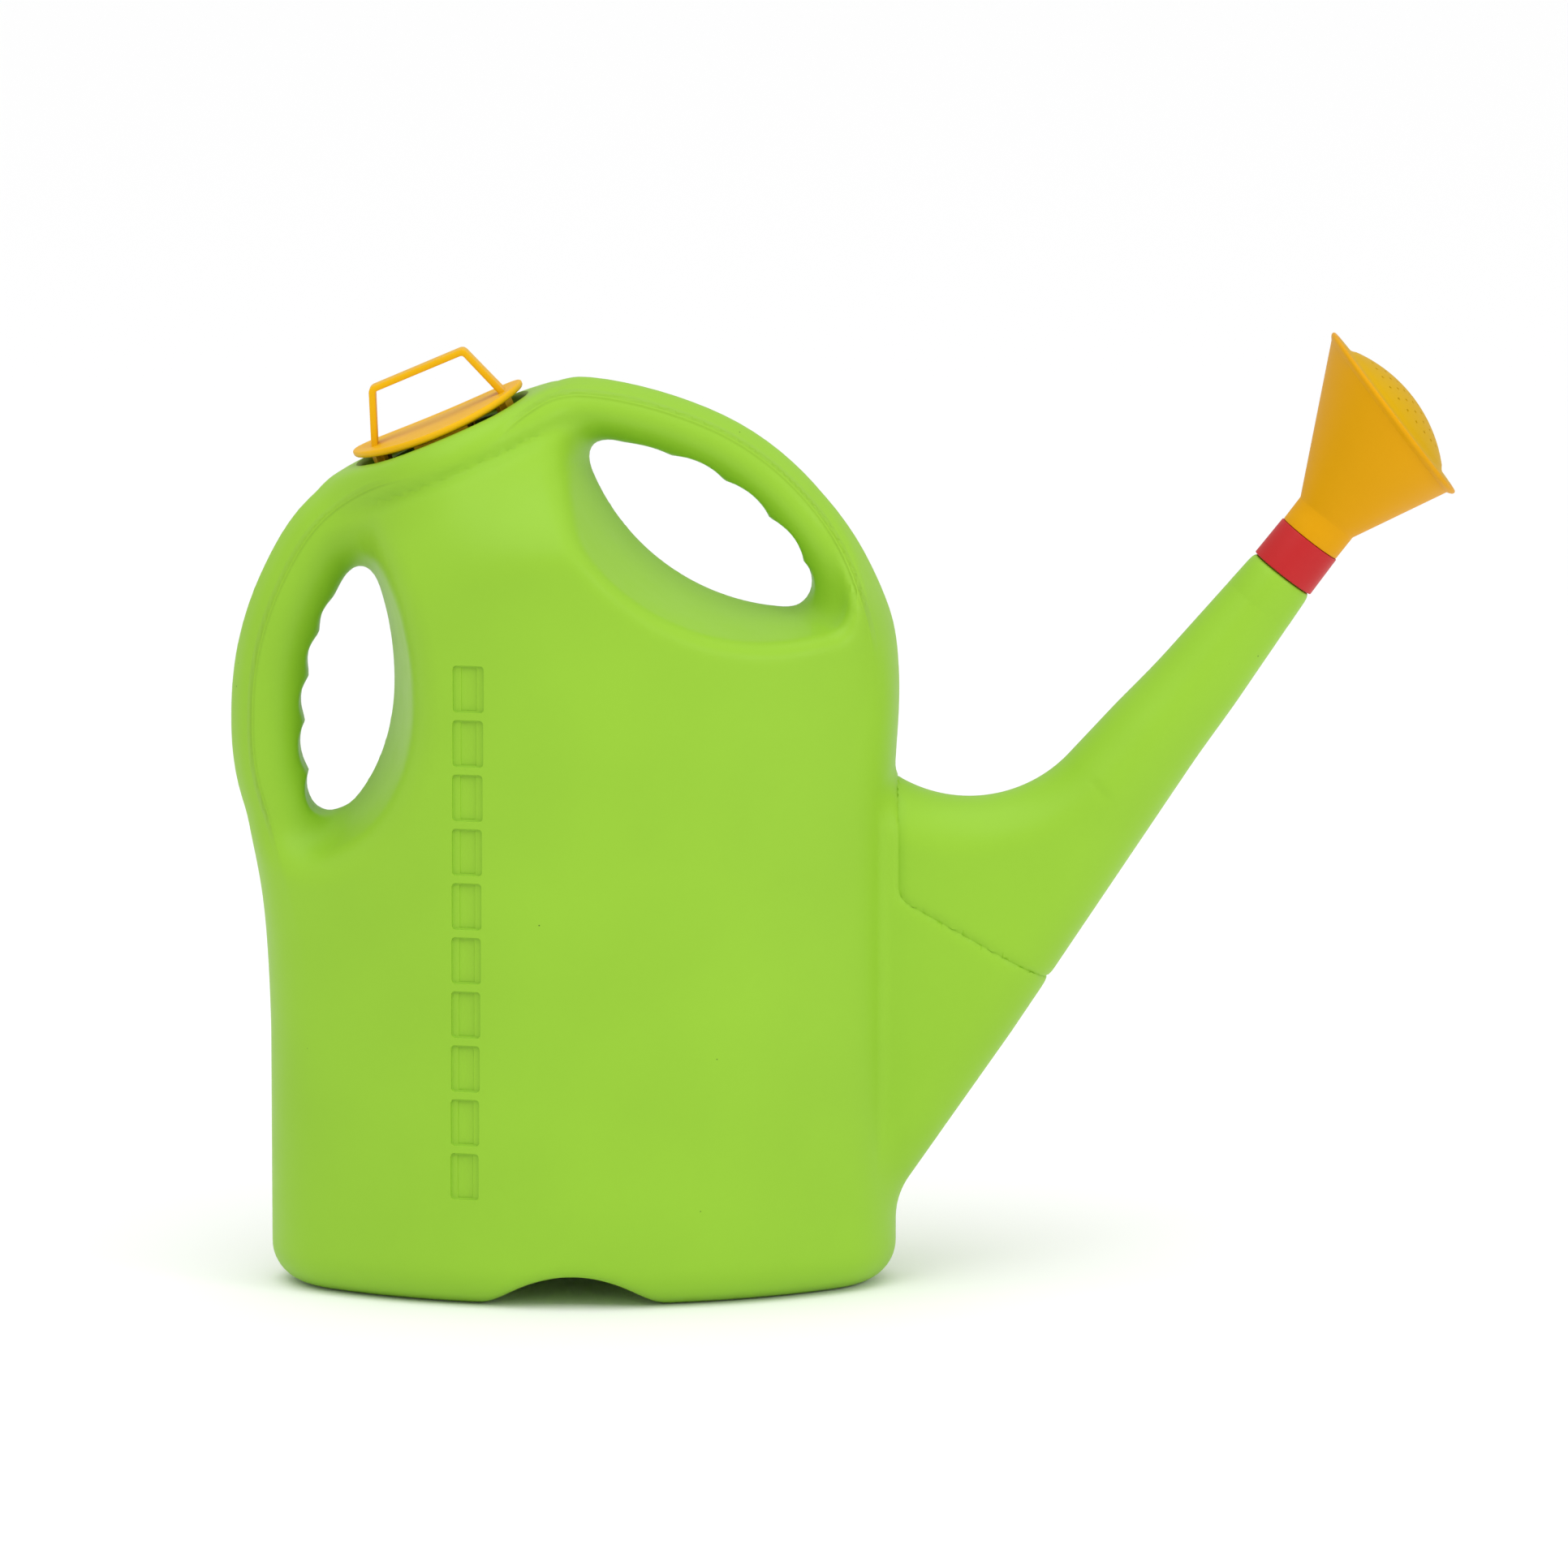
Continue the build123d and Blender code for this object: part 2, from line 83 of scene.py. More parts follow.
def round_max(a, b, radius):
    """Both at once, with a true round of the given radius where they meet."""
    over_a, over_b = np.maximum(a + radius, 0), np.maximum(b + radius, 0)
    return np.minimum(np.maximum(a, b), -radius) + np.hypot(over_a, over_b)


def smooth_step(low, high, value):
    t = np.clip((value - low) / (high - low), 0, 1)
    return t * t * (3 - 2 * t)


def along_across(x, z, centre, angle):
    """Distance along a direction in the XZ plane, angle degrees above +X, and square to it."""
    c, s = cos(radians(angle)), sin(radians(angle))
    dx, dz = x - centre[0], z - centre[1]
    return dx * c + dz * s, dx * s - dz * c


def oval(dx, dz, half_x, half_z):
    """Close to the distance outside an ellipse."""
    k0 = np.hypot(dx / half_x, dz / half_z) + 1e-6
    k1 = np.hypot(dx / half_x**2, dz / half_z**2) + 1e-9
    return k0 * (k0 - 1) / k1


# ---------------------------------------------------------------- the moulding's own shapes
def oval_prism(x, y, z):
    side, depth = np.abs(x - TANK_X), np.abs(y)
    by_end = side * SIDE_Y > (depth + SIDE_Y) * END_X
    end = np.hypot(side - END_X, depth) - END_RADIUS
    flank = np.hypot(side, depth + SIDE_Y) - SIDE_RADIUS
    return round_max(np.where(by_end, end, flank), -z, BASE_ROUND)


def boss(x, y, z):
    """The round plateau under the cap and the trumpet that flares from it into the tank's full depth."""
    above, sideways = along_across(x, z, SEAT_CENTRE, 90 + SEAT_TILT)
    below = np.maximum(-above, 0)
    radius = PLATEAU_RADIUS + PLATEAU_FLARE[0] * below + PLATEAU_FLARE[1] * below**2
    slope = PLATEAU_FLARE[0] + 2 * PLATEAU_FLARE[1] * below
    flank = (np.hypot(sideways, y) - radius) / np.sqrt(1 + slope**2)
    waist = WAIST_DEPTH * np.exp(-(((below - WAIST_BELOW) / WAIST_HEIGHT) ** 2))
    return round_max(flank + waist, above, PLATEAU_ROUND)


def scoop(x, y, z, centre, half_axes, lean, way):
    """Beside a hand opening: an oval that widens with depth, open towards way along X."""
    t = np.minimum(np.abs(y) / HALF_DEPTH, 1.2)
    cx, cz = centre[0], centre[1] + lean[0] * t
    reach = half_axes[0] + lean[1] * t
    low, high = half_axes[1] + lean[2] * t, half_axes[2] + lean[3] * t
    dx = np.where((x - cx) * way > 0, 0, x - cx)
    dz = z - cz
    return oval(dx, dz, reach, np.where(z < cz, low, high))


def spline(points, steps=5):
    """A Catmull-Rom curve through the points."""
    p = np.array(points, float)
    p = np.vstack([2 * p[0] - p[1], p, 2 * p[-1] - p[-2]])
    t = np.linspace(0, 1, steps, endpoint=False)[:, None]
    runs = []
    for a, b, c, d in zip(p, p[1:], p[2:], p[3:]):
        runs.append(b + 0.5 * t * (c - a + t * (2 * a - 5 * b + 4 * c - d + t * (3 * (b - c) + d - a))))
    return np.vstack(runs + [p[-2:-1]])


def nearest_on(line, x, z):
    """Distance square to a curve in the XZ plane, positive on its left, and the share of its length."""
    best = np.full(x.shape, 1e9)
    across, share = np.zeros(x.shape), np.zeros(x.shape)
    count = len(line) - 1
    for i in range(count):
        (ax, az), (bx, bz) = line[i], line[i + 1]
        dx, dz = bx - ax, bz - az
        px, pz = x - ax, z - az
        t = np.clip((px * dx + pz * dz) / (dx * dx + dz * dz), 0, 1)
        square = (px - t * dx) ** 2 + (pz - t * dz) ** 2
        closer = square < best
        best = np.where(closer, square, best)
        across = np.where(closer, np.sqrt(square) * np.sign(dx * pz - dz * px), across)
        share = np.where(closer, (i + t) / count, share)
    return across, share


# centre lines of the grips in the XZ plane, and half of their width and depth
REAR_LINE = spline([(-226, 128), (-235.5, 172), (-245.2, 204.3), (-253, 231.6), (-254.4, 258),
                    (-251.4, 283.6), (-242.8, 309.3), (-227.9, 334.7), (-206, 352), (-184, 360)])
FRONT_LINE = spline([(-152, 372), (-136, 385.5), (-118, 391.5), (-85.2, 385.7), (-52.4, 372.5),
                     (-26.7, 352.7), (-7.2, 326.8), (4.2, 297), (6.6, 276), (5, 256), (-1, 236)])
REAR_HALF, FRONT_HALF = (16.8, 19.0), (12.9, 18.5)
# crests between the finger dents, with the opening on the right of their run
REAR_CRESTS = [(-232, 209), (-237.1, 228.5), (-238.4, 251.5), (-236.1, 271.7), (-231.4, 290.7),
               (-222.9, 307.8)]
FRONT_CRESTS = [(-107, 373.2), (-76, 369.7), (-52.5, 358.8), (-32.7, 342.4), (-17.6, 323.2),
                (-12, 303)]
DENT_DEPTH = 3.3
STEP_AT, STEP_HEIGHT, STEP_HALF_WIDTH = 8.4, 0.9, 0.9
# how far the tank reaches on its right, going up, before the front grip takes over
SHOULDER = spline([(27, 180), (26.5, 236), (25.3, 262), (22.3, 282), (17, 299), (8.5, 315), (-4, 331),
                   (-22, 346), (-42, 357)], steps=3)
# the hollows beside the hand openings, as scoop takes them
REAR_SCOOP = ((-249, 270), (50, 70, 85), (-8, 14, 12, 25), -1)
FRONT_SCOOP = ((-20, 400), (98, 98, 98), (0, 19, 14, 10), 1)


def grip(x, y, z, line, half):
    """An oval tube along a grip's centre line, with the step that runs along its outer side."""
    across, share = nearest_on(line, x, z)
    flare = 1 + 0.35 * (smooth_step(0.30, 0.05, share) + smooth_step(0.72, 0.97, share))
    wide, deep = half[0], half[1] * flare
    step = STEP_HEIGHT * smooth_step(STEP_AT - STEP_HALF_WIDTH, STEP_AT + STEP_HALF_WIDTH, across)
    return oval(across, y, wide, deep) + step * smooth_step(0, 8, np.abs(y))


def dents(x, z, crests):
    """Round grooves across a grip's inner side, one between each pair of crests."""
    groove = np.full(x.shape, 1e9)
    for (ax, az), (bx, bz) in zip(crests, crests[1:]):
        pitch = hypot(bx - ax, bz - az)
        radius = (pitch**2 / 4 + DENT_DEPTH**2) / (2 * DENT_DEPTH)
        away = (radius - DENT_DEPTH) / pitch
        centre_x = (ax + bx) / 2 + away * (bz - az)
        centre_z = (az + bz) / 2 - away * (bx - ax)
        groove = np.minimum(groove, np.hypot(x - centre_x, z - centre_z) - radius)
    return groove


# the spout and the wedge below it: arc and slope of the top edge, underside of each, and how the body's
# radius grows and its section turns from the round end to the root
TOP_ARC, TOP_ARC_RADIUS, TOP_TILT, ROOT_TOP = (56.0, 277.4), 60.1, 47.1, 240.0
SPOUT_EDGE = ((91.4, 136.6), (203.3, 305.3))
WEDGE_EDGE = ((24.4, 39.1), (90.7, 134.4))
ROOT_GROWTH, GROWTH_LENGTH, ROUND_FROM, ROUND_TO = 9.6, 118, -95, -55
# the joint between spout and tank: down the end wall, then along a slope to the underside
SEAM_X, SEAM_CORNER, SEAM_TIP, SEAM_ROUND = 24.4, (26.7, 173.4), (91.4, 136.6), 5.0
JOINT_DEPTH, GROOVE_DEPTH, GROOVE_WIDTH, SEAM_TOP = 0.7, 0.6, 2.2, 236


def beyond_line(x, z, edge):
    """Distance past a straight edge, positive to its right."""
    (ax, az), (bx, bz) = edge
    length = hypot(bx - ax, bz - az)
    return ((x - ax) * (bz - az) - (z - az) * (bx - ax)) / length


def spout_and_wedge(x, y, z):
    s, across = along_across(x, z, COLLAR_FOOT, SPOUT_ANGLE)
    on_line, past = along_across(x, z, TOP_ARC, TOP_TILT)
    arc = np.maximum(TOP_ARC_RADIUS - np.hypot(x - TOP_ARC[0], z - TOP_ARC[1]), z - ROOT_TOP)
    top = np.where(on_line > 0, TOP_ARC_RADIUS - past, arc)
    under = np.maximum(beyond_line(x, z, SPOUT_EDGE), beyond_line(x, z, WEDGE_EDGE))
    grown = np.clip((-s - SPOUT_SHOULDER) / GROWTH_LENGTH, 0, 1)
    radius = SPOUT_END_RADIUS + ROOT_GROWTH * grown
    profile = np.maximum(smooth_max(top, under, 3), -x)
    body = np.hypot(np.maximum(profile + radius, 0), y) - radius
    end = np.hypot(across, y) - SPOUT_END_RADIUS - SPOUT_TAPER * np.maximum(-s, 0)
    near_end = smooth_step(ROUND_FROM, ROUND_TO, s)
    return round_max(body * (1 - near_end) + end * near_end, s + SPOUT_GAP + 4, SPOUT_SHOULDER)


def seam(x, z):
    """Negative on the spout's side of the joint between spout and tank."""
    slope = beyond_line(x, z, (SEAM_CORNER, SEAM_TIP))
    return smooth_max(SEAM_X - x, slope, SEAM_ROUND)


def moulding(p):
    """Distance outside the whole green moulding."""
    x, y, z = p.T
    tank = smooth_max(oval_prism(x, y, z), boss(x, y, z), 10)
    tank = smooth_max(tank, -scoop(x, y, z, *REAR_SCOOP), 11)
    # the front hollow keeps clear of the tank's right end, more so near the middle plane
    corner = x + 11 - 26 * np.minimum(np.abs(y) / HALF_DEPTH, 1.2) - 0.25 * np.maximum(z - 300, 0)
    front = smooth_max(scoop(x, y, z, *FRONT_SCOOP), corner, 10)
    tank = smooth_max(tank, -front, 8)
    inside, _ = nearest_on(SHOULDER, x, z)
    tank = smooth_max(tank, -inside, 8)
    # above 290 mm the right end grows thinner with height
    thinning = np.abs(y) - 70 + 1.15 * (z - 290) - 300 * smooth_step(4, -60, x)
    tank = smooth_max(tank, thinning, 18)
    for line, half, crests in ((REAR_LINE, REAR_HALF, REAR_CRESTS), (FRONT_LINE, FRONT_HALF, FRONT_CRESTS)):
        bar = smooth_max(grip(x, y, z, line, half), -dents(x, z, crests), 1.2)
        tank = smooth_min(tank, bar, 16)
    above, _ = along_across(x, z, SEAT_CENTRE, 90 + SEAT_TILT)
    tank = smooth_max(tank, above, 3)
    whole = smooth_min(tank, spout_and_wedge(x, y, z), 6)
    channel = CHANNEL_RADIUS - np.hypot(x - CHANNEL_CENTRE[0], z - CHANNEL_CENTRE[1])
    whole = smooth_max(whole, channel, 6)
    groove = GROOVE_DEPTH * np.exp(-((seam(x, z) / GROOVE_WIDTH) ** 2))
    groove *= smooth_step(12, 24, x) * smooth_step(SEAM_TOP, SEAM_TOP - 10, z)
    return np.maximum(whole + groove, -z)


# ---------------------------------------------------------------- from a distance field to a mesh
CORNERS = np.array([(i, j, k) for i in (0, 1) for j in (0, 1) for k in (0, 1)])
CELL_EDGES = [(a, b) for a in range(8) for b in range(a + 1, 8) if np.abs(CORNERS[a] - CORNERS[b]).sum() == 1]


def sampled(field, low, cell, shape):
    """The field on a grid, worked out exactly only near the surface."""
    coarse_shape = tuple(n // 2 + 2 for n in shape)
    index = np.indices(coarse_shape).reshape(3, -1).T
    coarse = in_parts(field, low + index * 2 * cell).reshape(coarse_shape)
    for axis in range(3):
        size = coarse.shape[axis]
        first = np.take(coarse, range(size - 1), axis)
        second = np.take(coarse, range(1, size), axis)
        finer = list(first.shape)
        finer[axis] *= 2
        coarse = np.stack([first, (first + second) / 2], axis + 1).reshape(finer)
    values = coarse[: shape[0], : shape[1], : shape[2]].copy()
    near = np.argwhere(np.abs(values) < 3.5 * cell)
    values[tuple(near.T)] = in_parts(field, low + near * cell)
    return values


def in_parts(field, points, size=150000):
    return np.concatenate([field(points[i:i + size]) for i in range(0, len(points), size)])


def gradient(field, points, step=0.05):
    values = [in_parts(field, points + step * d) - in_parts(field, points - step * d) for d in np.eye(3)]
    return np.stack(values, 1) / (2 * step)


def surface_net(field, low, high, cell):
    """A quad mesh of the zero surface."""
    low = np.array(low, float)
    shape = tuple(int(n) for n in np.ceil((np.array(high) - low) / cell) + 1)
    values = sampled(field, low, cell, shape)
    inside = values < 0
    nx, ny, nz = (n - 1 for n in shape)
    count = sum(inside[i:nx + i, j:ny + j, k:nz + k].astype(np.int8) for i, j, k in CORNERS)
    cells = np.argwhere((count > 0) & (count < 8))
    number = np.full(count.shape, -1)
    number[tuple(cells.T)] = np.arange(len(cells))
    total, hits = np.zeros((len(cells), 3)), np.zeros(len(cells))
    corner_values = [values[tuple((cells + c).T)] for c in CORNERS]
    for a, b in CELL_EDGES:
        va, vb = corner_values[a], corner_values[b]
        cross = (va < 0) != (vb < 0)
        t = np.where(cross, va / np.where(cross, va - vb, 1), 0)
        place = CORNERS[a] + t[:, None] * (CORNERS[b] - CORNERS[a])
        total += place * cross[:, None]
        hits += cross
    points = low + cell * (cells + total / hits[:, None])
    quads = []
    for axis in range(3):
        u, v = (axis + 1) % 3, (axis + 2) % 3
        here = inside.take(range(shape[axis] - 1), axis)
        there = inside.take(range(1, shape[axis]), axis)
        for sign in (True, False):
            edges = np.argwhere((here != there) & (here == sign))
            edges = edges[(edges[:, u] > 0) & (edges[:, v] > 0)]
            edges = edges[(edges[:, u] < count.shape[u]) & (edges[:, v] < count.shape[v])]
            du, dv = np.eye(3, dtype=int)[u], np.eye(3, dtype=int)[v]
            ring = [edges - du - dv, edges - dv, edges, edges - du]
            quad = np.stack([number[tuple(c.T)] for c in ring], 1)
            quads.append(quad if sign else quad[:, ::-1])
    quads = np.vstack(quads)
    for _ in range(3):
        points = relaxed(points, quads)
        slope = gradient(field, points)
        points -= slope * (in_parts(field, points) / (slope**2).sum(1).clip(0.05))[:, None]
    return points, quads


def relaxed(points, quads):
    """Each point halfway to the mean of its neighbours."""
    total, hits = np.zeros_like(points), np.zeros(len(points))
    for a, b in zip(quads.T, np.roll(quads, -1, 1).T):
        for first, second in ((a, b), (b, a)):
            for axis in range(3):
                total[:, axis] += np.bincount(first, points[second, axis], len(points))
            hits += np.bincount(first, minlength=len(points))
    return (points + total / hits[:, None]) / 2


def new_mesh(name, points, faces):
    """An object in the scene from points in millimetres."""
    mesh = bpy.data.meshes.new(name)
    if isinstance(faces, np.ndarray):
        faces = faces.tolist()
    mesh.from_pydata((np.asarray(points) * MM).tolist(), [], faces)
    mesh.validate()
    piece = bpy.data.objects.new(name, mesh)
    bpy.context.scene.collection.objects.link(piece)
    return piece


def joined(target, other, how):
    """An exact boolean, after which the other piece is gone."""
    cut = target.modifiers.new("cut", "BOOLEAN")
    cut.object, cut.operation, cut.solver = other, how, "EXACT"
    bpy.context.view_layer.update()
    mesh = bpy.data.meshes.new_from_object(target.evaluated_get(bpy.context.evaluated_depsgraph_get()))
    target.modifiers.clear()
    target.data = mesh
    bpy.data.objects.remove(other)
    return target


def frame_of(centre, angle):
    """Origin, the two directions in the plane, and the normal of a tilted plane."""
    c, s = cos(radians(angle)), sin(radians(angle))
    origin = np.array([centre[0], 0, centre[1]])
    return origin, np.array([s, 0, -c]), np.array([0, 1.0, 0]), np.array([c, 0, s])


SEAT = frame_of(SEAT_CENTRE, 90 + SEAT_TILT)
SPOUT = frame_of(COLLAR_FOOT, SPOUT_ANGLE)
RIM = frame_of(RIM_CENTRE, RIM_ANGLE)


def circle_points(place, radius, height, count):
    origin, right, back, normal = place
    turn = np.linspace(0, 2 * pi, count, endpoint=False)[:, None]
    return origin + radius * (np.cos(turn) * right + np.sin(turn) * back) + height * normal


def rings_to_piece(name, rings, closed):
    """A skin over rings of points; closed joins the last ring to the first, else the ends are capped."""
    count = len(rings[0])
    faces = []
    last = len(rings) if closed else len(rings) - 1
    for r in range(last):
        a, b = r * count, (r + 1) % len(rings) * count
        faces += [(a + i, a + (i + 1) % count, b + (i + 1) % count, b + i) for i in range(count)]
    if not closed:
        faces.append(tuple(reversed(range(count))))
        faces.append(tuple(range((len(rings) - 1) * count, len(rings) * count)))
    piece = new_mesh(name, np.vstack(rings), faces)
    tidy(piece)
    return piece


def tidy(piece, weld=0.004):
    """Welds doubles and turns every face outwards."""
    mesh = bmesh.new()
    mesh.from_mesh(piece.data)
    bmesh.ops.remove_doubles(mesh, verts=mesh.verts, dist=weld * MM)
    bmesh.ops.dissolve_degenerate(mesh, edges=mesh.edges, dist=weld * MM / 2)
    bmesh.ops.recalc_face_normals(mesh, faces=mesh.faces)
    mesh.to_mesh(piece.data)
    mesh.free()


def drop_scraps(piece, reach=0.002):
    """Deletes what an exact boolean can leave behind: faces lying on each other and slivers without area."""
    mesh = bmesh.new()
    mesh.from_mesh(piece.data)
    bmesh.ops.triangulate(mesh, faces=[face for face in mesh.faces if len(face.verts) > 4])
    for _ in range(2):
        places = {}
        for face in mesh.faces:
            key = frozenset(tuple(round(c / (reach * MM)) for c in vertex.co) for vertex in face.verts)
            places.setdefault(key, []).append(face)
        doubled = [face for faces in places.values() if len(faces) > 1 for face in faces]
        bmesh.ops.delete(mesh, geom=doubled, context="FACES")
        bmesh.ops.remove_doubles(mesh, verts=mesh.verts, dist=reach * MM)
        bmesh.ops.dissolve_degenerate(mesh, edges=mesh.edges, dist=reach * MM)
    mesh.to_mesh(piece.data)
    mesh.free()


def eased(profile, radii, steps=4, closed=True):
    """The profile with each corner replaced by a small curve of about that radius."""
    result = []
    for i, corner in enumerate(profile):
        radius = radii[i] if isinstance(radii, (list, tuple)) else radii
        if not radius or (not closed and i in (0, len(profile) - 1)):
            result.append(corner)
            continue
        p, a, b = (np.array(q, float) for q in (corner, profile[i - 1], profile[(i + 1) % len(profile)]))
        start = p + (a - p) * min(radius / np.linalg.norm(a - p), 0.48)
        end = p + (b - p) * min(radius / np.linalg.norm(b - p), 0.48)
        for t in np.linspace(0, 1, steps + 1):
            result.append(tuple((1 - t) ** 2 * start + 2 * t * (1 - t) * p + t * t * end))
    return result


def lathe(name, place, profile, closed=True, count=128):
    """A solid turned about a plane's normal from radius and height pairs."""
    return rings_to_piece(name, [circle_points(place, max(r, 0.0), n, count) for r, n in profile], closed)


# ---------------------------------------------------------------- tank and spout
def window_cutter(row):
    """A sunk level window: a rounded pocket with a shallow channel down its middle."""
    x = WINDOW_BASE_X + WINDOW_LEAN * row
    turn = (x - TANK_X) / SIDE_RADIUS
    level = sqrt(1 - turn**2)
    centre = np.array([x, SIDE_RADIUS * (1 - level) - HALF_DEPTH, WINDOW_LOWEST + row * WINDOW_PITCH])
    across, up, inward = np.array([level, turn, 0]), np.array([0, 0, 1.0]), np.array([-turn, level, 0])
    wide, high = WINDOW_HALF_WIDTH + WINDOW_WIDENING * row, WINDOW_HALF_HEIGHT

    def ring(outline, depth):
        return np.array([centre + u * across + v * up + depth * inward for u, v in outline])

    pocket, channel = [], []
    for grow, depth in ((1.2, -0.9), (0.35, -0.1), (0.1, 0.15), (0.0, 1.15), (-0.2, 1.35), (-0.6, 1.4)):
        outline = []
        for right, top, start in ((1, 1, 0), (-1, 1, 90), (-1, -1, 180), (1, -1, 270)):
            for angle in range(start, start + 91, 15):
                outline.append((right * (wide - WINDOW_CORNER) + (WINDOW_CORNER + grow) * cos(radians(angle)),
                                top * (high - WINDOW_CORNER) + (WINDOW_CORNER + grow) * sin(radians(angle))))
        pocket.append(ring(outline, depth))
    end = high - 0.7
    for depth, half in ((1.0, 3.8), (1.8, 3.3), (2.0, 2.8)):
        channel.append(ring([(half, end), (-half, end), (-half, -end), (half, -end)], depth))
    pocket = rings_to_piece("window", pocket, False)
    return joined(pocket, rings_to_piece("channel", channel, False), "UNION")


def cavity(p):
    """The space inside the moulding, kept clear of the pan under the cap."""
    above, sideways = along_across(p[:, 0], p[:, 2], SEAT_CENTRE, 90 + SEAT_TILT)
    pan = np.maximum(np.hypot(sideways, p[:, 1]) - RECESS_RADIUS - WALL, -RECESS_DEPTH - WALL - above)
    return np.maximum(moulding(p) + WALL, -pan)


def cutters():
    """The filler recess and its hole, the ten level windows and the bore at the spout's end."""
    floor = -RECESS_DEPTH
    filler = [(0, 6), (RECESS_RADIUS + 3.0, 6), (RECESS_RADIUS + 1.6, 0.25), (RECESS_RADIUS, -1.4),
              (RECESS_RADIUS, floor), (FILLER_RADIUS, floor), (FILLER_RADIUS, floor - 6), (0, floor - 6)]
    filler = eased(filler, [0, 0, 1.2, 1.2, 0.9, 0.7, 0, 0], closed=False)
    bore = [(0, -16), (NECK_BORE, -16), (NECK_BORE, NECK_LENGTH + 1), (0, NECK_LENGTH + 1)]
    filler = lathe("filler", SEAT, filler, closed=False, count=160)
    bore = lathe("bore", SPOUT, bore, closed=False, count=96)
    return merged([filler, bore] + [window_cutter(row) for row in range(WINDOW_COUNT)])


def merged(pieces):
    """Several pieces in one mesh."""
    mesh = bmesh.new()
    for piece in pieces:
        mesh.from_mesh(piece.data)
    mesh.to_mesh(pieces[0].data)
    mesh.free()
    for piece in pieces[1:]:
        bpy.data.objects.remove(piece)
    return pieces[0]


def beyond_seam():
    """A prism over the spout's side of the joint, with seam's own round at the corner."""
    (ax, az), (bx, bz) = SEAM_CORNER, SEAM_TIP
    length = hypot(bx - ax, bz - az)
    line = [(SEAM_X, SEAM_TOP + 9.0)]
    for gap in np.linspace(SEAM_ROUND, -SEAM_ROUND, 15):
        nearer = -((SEAM_ROUND - abs(gap)) ** 2) / (4 * SEAM_ROUND)
        first, second = (nearer, nearer - gap) if gap >= 0 else (nearer + gap, nearer)
        x = SEAM_X - first
        line.append((x, az + ((x - ax) * (bz - az) - second * length) / (bx - ax)))
    line += [(x, az + (x - ax) * (bz - az) / (bx - ax)) for x in (60.0, 100.0, 130.0)]
    line += [(320.0, 114.0), (320.0, 420.0), (60.0, 420.0)]
    sides = [np.array([(x, y, z) for x, z in line]) for y in (-70.0, 70.0)]
    return rings_to_piece("beyond_seam", sides, False)


def make_moulding():
    """Tank, grips and spout as one hollow moulding, cut in two along the joint between spout and tank."""
    low, high = (-278, -85, -5), (216, 85, 410)
    tank = new_mesh("tank_moulding", *surface_net(moulding, low, high, OUTER_CELL))
    end = [(0, -20)]
    for n, proud in ((-20, -0.6), (-17, 0.04), (-SPOUT_GAP, 0.04)):
        end.append((SPOUT_END_RADIUS - SPOUT_TAPER * n + proud, n))
    end += [(NECK_RADIUS, -SPOUT_GAP), (NECK_RADIUS, NECK_LENGTH), (0, NECK_LENGTH)]
    end = eased(end, [0, 0, 0, 5.0, 0.3, 0.6, 0], steps=9, closed=False)
    joined(tank, lathe("spout_end", SPOUT, end, closed=False, count=128), "UNION")
    inner = new_mesh("inner", *surface_net(cavity, low, high, CAVITY_CELL))
    inner.data.flip_normals()
    merged([tank, inner])
    joined(tank, cutters(), "DIFFERENCE")
    spout = bpy.data.objects.new("spout_moulding", tank.data.copy())
    bpy.context.scene.collection.objects.link(spout)
    joined(spout, beyond_seam(), "INTERSECT")
    joined(tank, beyond_seam(), "DIFFERENCE")
    for piece in (tank, spout):
        sink_joint(piece)
        mark_lines(piece)
    return tank, spout


def vertices_of(piece):
    points = np.empty(len(piece.data.vertices) * 3)
    piece.data.vertices.foreach_get("co", points)
    return points.reshape(-1, 3) / MM


def sink_joint(piece):
    """Draws the outer edge of the joint inwards."""
    points = vertices_of(piece)
    on_joint = (np.abs(seam(points[:, 0], points[:, 2])) < 0.05) & (points[:, 2] < SEAM_TOP)
    edge = on_joint & (np.abs(moulding(points)) < 0.6)
    slope = gradient(moulding, points[edge])
    points[edge] -= JOINT_DEPTH * slope / np.linalg.norm(slope, axis=1, keepdims=True).clip(0.5)
    piece.data.vertices.foreach_set("co", (points * MM).ravel())
    piece.data.update()


def mark_lines(piece):
    """Stores how far each vertex is from the fine step that runs along a grip, for the surface finish."""
    x, _, z = vertices_of(piece).T
    step, fade = np.full(len(x), 9.0), np.zeros(len(x))
    for line, half, start, end in ((REAR_LINE, REAR_HALF, 0.22, 0.96), (FRONT_LINE, FRONT_HALF, 0.06, 0.74)):
        across, share = nearest_on(line, x, z)
        here = smooth_step(start - 0.05, start + 0.06, share) * smooth_step(end + 0.04, end - 0.08, share)
        here *= smooth_step(1.9, 1.3, np.abs(across) / half[0])
        step = np.where(here > fade, across - STEP_AT, step)
        fade = np.maximum(fade, here)
    for name, values in (("step", step), ("fade", fade)):
        piece.data.attributes.new(name, "FLOAT", "POINT").data.foreach_set("value", values.astype(np.float32))


# ---------------------------------------------------------------- collar, washer and rose
def make_collar():
    """The collar round the neck, its inner web and the spigot that holds the rose."""
    profile = [(12.15, 0), (15.4, 0), (15.0, 19.2), (11.5, 19.2), (11.5, 29), (9, 29), (9, 10), (12.15, 10)]
    return lathe("swivel_collar", SPOUT, eased(profile, [0.3, 0.45, 0.45, 0.2, 0.6, 0.4, 0.3, 0.2]))


def make_washer():
    """The flat ring between the neck's end and the collar's web."""
    profile = [(9.0, 8.55), (11.9, 8.55), (11.9, 10), (9.0, 10)]
    return lathe("washer_ring", SPOUT, eased(profile, 0.3))


